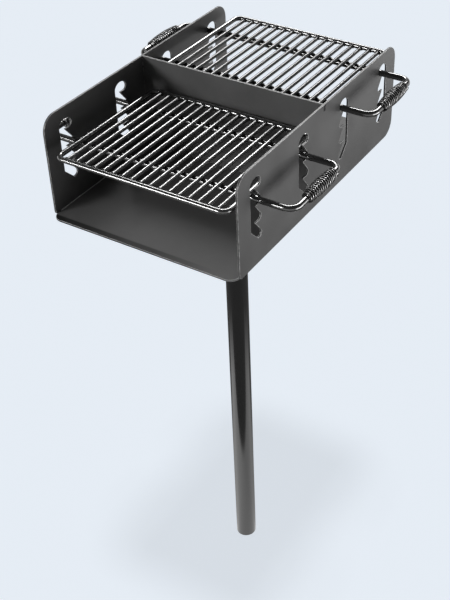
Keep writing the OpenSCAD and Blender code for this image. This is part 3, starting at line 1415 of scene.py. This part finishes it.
@dataclass(frozen=True)
class Paper:
    """What shines show of the floor: pale round the post's foot, dim, then pale far off.

    Lengths are in metres. Nearer and aside are measured as the camera looks. Each softness
    is half the width of a border.
    """

    turn: float = 29.954
    near_edge: float = 0.4
    near_softness: float = 0.03
    far_edge: float = 0.35
    far_softness: float = 0.1
    half_width: float = 0.95
    width_softness: float = 0.2
    far_ring: tuple[float, float] = (3.1, 3.7)
    dim: float = 0.1
    left_share: float = 0.88
    right_share: float = 0.63
    share_softness: float = 0.15
    behind_share: float = 0.25
    squarely_behind: float = 0.85

    def tone(self, bench: NodeBench) -> Socket:
        """How bright the floor is in a shine.

        Args:
            bench: The bench of the floor's material.

        Returns:
            1 on the paper, and the dim floor's share round it.
        """
        place = bench.add("ShaderNodeTexCoord").outputs["Object"]
        angle = (0.0, 0.0, -math.radians(self.turn))
        turned = bench.add(
            "ShaderNodeMapping", {"Vector": place, "Rotation": angle}, vector_type="POINT"
        )
        where = bench.split(turned.outputs["Vector"])
        right, behind = where["X"], where["Y"]
        radius = bench.vector("LENGTH", place)
        borders = (
            (bench.calc("MULTIPLY", behind, -1.0), self.near_edge, self.near_softness),
            (behind, self.far_edge, self.far_softness),
            (bench.calc("ABSOLUTE", right), self.half_width, self.width_softness),
        )
        near, far, wide = (
            bench.ramp(value, edge - soft, edge + soft, 1.0, 0.0)
            for value, edge, soft in borders
        )
        backward = bench.calc("DIVIDE", behind, radius)
        back = bench.ramp(backward, 0.0, self.squarely_behind, 1.0, self.behind_share)
        soft = self.share_softness
        side = bench.ramp(right, -soft, soft, self.left_share, self.right_share)
        tongue = near
        for share in (far, wide, back, side):
            tongue = bench.calc("MULTIPLY", tongue, share)
        paper = bench.calc("MAXIMUM", tongue, bench.ramp(radius, *self.far_ring))
        return bench.calc("MULTIPLY_ADD", paper, 1.0 - self.dim, self.dim)


@dataclass
class Studio:
    """The pale floor and the light round it. Lengths are in metres."""

    pale: Colour = (0.783, 0.839, 0.905)
    reflected: Colour = grey(0.92)
    paper: Paper = Paper()
    floor_half: float = 40.0
    floor_drop: float = 0.0005
    floor_shade: float = 0.5
    floor_lift: float = 1.62
    daylight: float = 0.12
    wall_top: tuple[float, float] = (0.1, 0.3)
    ceiling: float = 0.06
    overhead_power: float = 0.9
    overhead_spread: float = 8.0
    overhead_lean: tuple[float, float] = (0.04, -0.07)
    target: tuple[float, float, float] = (0.0, 0.0, 1.5)
    lamps: tuple[Lamp, ...] = (
        Lamp("back lamp", (-0.28, 0.71, 0.65), 7.0, 4.6, 1.5, 470.0),
        Lamp("front lamp", (-0.45, -0.84, 0.25), 5.0, 1.4, 0.8, 160.0),
        Lamp("side lamp", (0.93, 0.22, -0.17), 5.0, 5.6, 2.6, 345.0),
    )
    bar_lamp: Lamp = Lamp("bar lamp", (-0.28, 0.71, 0.65), 7.0, 4.6, 1.5, 380.0)

    @staticmethod
    def seen_directly(bench: NodeBench) -> tuple[Socket, Socket]:
        """Tells rays that see the background from rays that only carry its light.

        Args:
            bench: The bench of the material or world that asks.

        Returns:
            1 for any ray that sees it and 0 for light, and 1 for the camera's own rays.
        """
        path = bench.add("ShaderNodeLightPath").outputs
        shine = bench.calc("MAXIMUM", path["Is Glossy Ray"], path["Is Transmission Ray"])
        return bench.calc("MAXIMUM", path["Is Camera Ray"], shine), path["Is Camera Ray"]

    def sky(self) -> None:
        """The room round the grill: pale walls, and a ceiling that shines give back dimly."""
        world = bpy.data.worlds.new("studio light")
        bpy.context.scene.world = world
        bench = NodeBench.cleared(world)
        seen, direct = self.seen_directly(bench)
        way = bench.add("ShaderNodeTexCoord").outputs["Generated"]
        rise = bench.ramp(bench.split(way)["Z"], *self.wall_top, 1.0, self.ceiling)
        levels = ((self.reflected, rise), (self.pale, 1.0), (self.reflected, self.daylight))
        shine, plain, light = (
            bench.add("ShaderNodeBackground", {"Color": rgba(tone), "Strength": level}).outputs[0]
            for tone, level in levels
        )
        mixed = bench.blend_shader(seen, light, bench.blend_shader(direct, shine, plain))
        bench.add("ShaderNodeOutputWorld", {"Surface": mixed})

    def floor(self) -> Object:
        """The floor, which keeps a faint shadow of the grill.

        Returns:
            The floor.
        """
        half, z = self.floor_half, -self.floor_drop
        mesh = bpy.data.meshes.new("floor")
        corners = [(-half, -half, z), (half, -half, z), (half, half, z), (-half, half, z)]
        mesh.from_pydata(corners, [], [(0, 1, 2, 3)])
        made = put("floor", mesh)
        finish = bpy.data.materials.new("pale floor")
        bench = NodeBench.cleared(finish)
        seen, direct = self.seen_directly(bench)
        tone = bench.blend_colour(direct, rgba(self.reflected), rgba(self.pale))
        matt = bench.add("ShaderNodeBsdfDiffuse", {"Color": tone})
        share = bench.calc("SUBTRACT", 1.0, direct)
        level = bench.calc("MULTIPLY", share, self.paper.tone(bench))
        lift = bench.calc("MULTIPLY", direct, self.floor_lift)
        strength = bench.calc("ADD", lift, level)
        shown = bench.add("ShaderNodeEmission", {"Color": tone, "Strength": strength})
        kept = bench.calc("SUBTRACT", seen, bench.calc("MULTIPLY", direct, self.floor_shade))
        mixed = bench.blend_shader(kept, matt.outputs[0], shown.outputs[0])
        bench.add("ShaderNodeOutputMaterial", {"Surface": mixed})
        mesh.materials.append(finish)
        return made

    @staticmethod
    def linked(name: str, pieces: Iterable[Object], state: str) -> Collection:
        """Groups pieces for the linking of a lamp.

        Args:
            name: The group's name.
            pieces: The pieces.
            state: INCLUDE where only they count, EXCLUDE where they are left out.

        Returns:
            The group.
        """
        group = bpy.data.collections.new(name)
        for piece in pieces:
            group.objects.link(piece)
        for link in group.collection_objects:
            link.light_linking.link_state = state
        return group

    def overhead(self, floor: Object) -> None:
        """The far lamp above, which draws the grill's shadow straight down on the floor.

        Args:
            floor: The floor, the only piece that it lights.
        """
        data = bpy.data.lights.new("overhead lamp", "SUN")
        data.energy = self.overhead_power
        data.angle = math.radians(self.overhead_spread)
        made = put("overhead lamp", data)
        Lamp.aim(made, Vector((*self.overhead_lean, 1.0)))
        lit = self.linked("lit by the overhead lamp", [floor], "INCLUDE")
        made.light_linking.receiver_collection = lit

    def light_bars(self) -> None:
        """Lights the front grate's bars past the divider and the rear grate."""
        bars = frame["nodes"]["front_grate_bars"]
        lit = self.linked("lit by the bar lamp", [bars], "INCLUDE")
        shading = [
            piece for piece in bpy.context.scene.objects
            if piece.type == "MESH" and piece.name.startswith(("rear_", "divider_plate"))
        ]
        passed = self.linked("let the bar lamp through", shading, "EXCLUDE")
        lamp = self.bar_lamp.hang(Vector(self.target), lit)
        lamp.light_linking.blocker_collection = passed

    def build(self) -> None:
        """Sets up the whole studio."""
        self.sky()
        floor = self.floor()
        self.overhead(floor)
        unlit = self.linked("screened from the other lamps", [floor], "EXCLUDE")
        for lamp in self.lamps:
            lamp.hang(Vector(self.target), unlit)
        self.light_bars()
        bpy.context.scene.view_settings.view_transform = "Standard"


@dataclass
class PhotoCamera:
    """The camera at the photograph's place. Angles are in degrees, lengths in metres."""

    azimuth: float = 29.954
    elevation: float = 35.155
    roll: float = -0.118
    place: tuple[float, float, float] = (1.29967, -1.9595, 2.80622)
    lens_mm: float = 65.66
    sensor_mm: float = 36.0
    shift_x: float = -0.1109
    shift_y: float = -0.1072
    nearest: float = 0.05
    farthest: float = 200.0

    def build(self) -> Object:
        """Makes the camera and gives it to the scene.

        Returns:
            The camera.
        """
        data = bpy.data.cameras.new("camera")
        data.sensor_width = self.sensor_mm
        data.lens = self.lens_mm
        data.shift_x = self.shift_x
        data.shift_y = self.shift_y
        data.clip_start = self.nearest
        data.clip_end = self.farthest
        made = put("camera", data)
        a, e, r = (math.radians(v) for v in (self.azimuth, self.elevation, self.roll))
        back = Vector((math.sin(a) * math.cos(e), -math.cos(a) * math.cos(e), math.sin(e)))
        right = (-back).cross(Vector((0.0, 0.0, 1.0))).normalized()
        up = right.cross(-back)
        turned_right = right * math.cos(r) + up * math.sin(r)
        turned_up = up * math.cos(r) - right * math.sin(r)
        axes = Matrix((turned_right, turned_up, back)).transposed()
        made.matrix_world = Matrix.Translation(self.place) @ axes.to_4x4()
        bpy.context.scene.camera = made
        return made


def main() -> None:
    """Builds the grill, the studio and the camera."""
    logging.basicConfig(level=logging.INFO, format="%(message)s")
    Post().build()
    Firebox().build()
    for place in Place:
        Grate(place).build()
        for hand in Hand:
            CoilGrip(place, hand).build()
    Studio().build()
    PhotoCamera().build()


if __name__ == "__main__":
    main()
